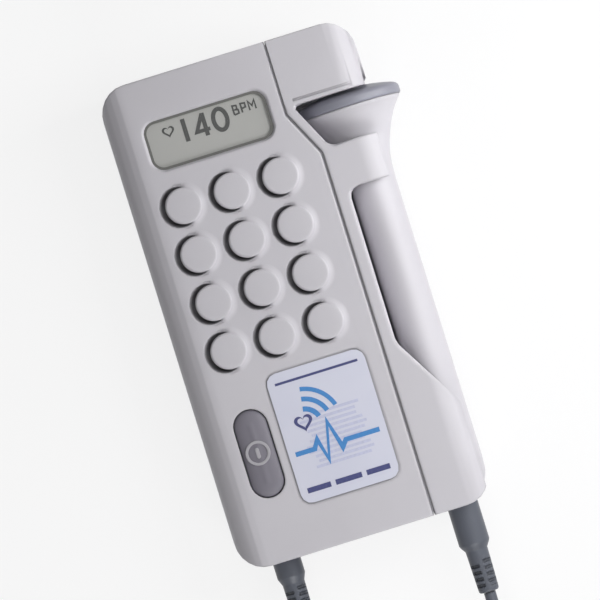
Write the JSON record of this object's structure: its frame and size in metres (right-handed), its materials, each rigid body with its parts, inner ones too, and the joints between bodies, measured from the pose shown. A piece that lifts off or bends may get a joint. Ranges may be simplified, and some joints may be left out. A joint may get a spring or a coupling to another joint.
{
  "type": "fetal doppler monitor",
  "caption": "Pocket fetal doppler: case with LCD, louvred speaker outlet, on/off button and label, and a flared probe on a curly cable docked in a side bay.",
  "frame": {"origin": "under the middle of the unit with its docked probe and both strain reliefs, on the surface that its back lies on", "axes": "+Z out of the front face, +Y towards the display end, +X towards the docked probe"},
  "size_m": [0.0826, 0.2637, 0.0314],
  "materials": {
    "case_plastic": "fine matte moulded surface",
    "button_plastic": "soft matte",
    "face_plastic": "smooth matte",
    "lens_glass": "clear",
    "lcd_glass": "satin reflective LCD",
    "label_film": "printed satin film",
    "dark_rubber": "matte",
    "black_plastic": "matte",
    "board_laminate": "solder mask",
    "steel": "plated",
    "brass": "plated brass",
    "ceramic": "fired ceramic",
    "foam": "matte elastomer",
    "cone_paper": "coated paper",
    "battery_skin": "satin lacquer"
  },
  "bodies": {
    "case": {"front_case": "case_plastic", "rear_case": "case_plastic", "probe_holder": "case_plastic", "speaker_grille": "case_plastic", "display_window": "lens_glass", "lcd_panel": "lcd_glass", "lcd_frame": "black_plastic", "zebra_strip_upper": "foam", "zebra_strip_lower": "foam", "display_board": "board_laminate", "display_header": "black_plastic", "label_plate": "label_film", "switch_board": "board_laminate", "power_switch": "black_plastic", "speaker_frame": "black_plastic", "speaker_cone": "cone_paper", "speaker_magnet": "steel", "main_board": "board_laminate", "signal_processor": "black_plastic", "audio_amplifier": "black_plastic", "clock_crystal": "steel", "receiver_shield": "steel", "probe_header": "ceramic", "unit_lead": "black_plastic", "battery": "battery_skin", "battery_snap": "black_plastic", "volume_pot": "steel", "headphone_socket": "black_plastic", "case_screw_1": "steel", "case_screw_2": "steel", "case_screw_3": "steel", "case_screw_4": "steel", "board_screw_1": "steel", "board_screw_2": "steel", "board_screw_3": "steel", "board_screw_4": "steel", "holder_screw_1": "steel", "holder_screw_2": "steel", "unit_strain_relief": "dark_rubber", "curly_cord": "dark_rubber"},
    "button": {"power_button": "button_plastic", "switch_plunger": "brass"},
    "wheel": {"volume_wheel": "black_plastic"},
    "door": {"battery_door": "case_plastic"},
    "probe": {"probe_handle": "case_plastic", "probe_faceplate": "face_plastic", "transmit_crystal": "ceramic", "receive_crystal": "ceramic", "crystal_backing": "foam", "probe_board": "board_laminate", "probe_strain_relief": "dark_rubber"}
  },
  "joints": [
    {"name": "button_press", "type": "slide", "parent": "case", "child": "button", "axis": [0, 0, -1], "range_m": [0, 0.0005], "stiffness_N_per_m": 3000},
    {"name": "volume_turn", "type": "hinge", "parent": "case", "child": "wheel", "pos_m": [-0.01625, 0.075, 0.0099], "axis": [0, 0, 1], "range_deg": [-135, 135]},
    {"name": "battery_door_slide", "type": "slide", "parent": "case", "child": "door", "axis": [0, -1, 0], "range_m": [0, 0.058]},
    {"name": "probe_undock", "type": "slide", "parent": "case", "child": "probe", "axis": [1, 0, 0], "range_m": [0, 0.045], "deforming": ["curly_cord"]}
  ]
}
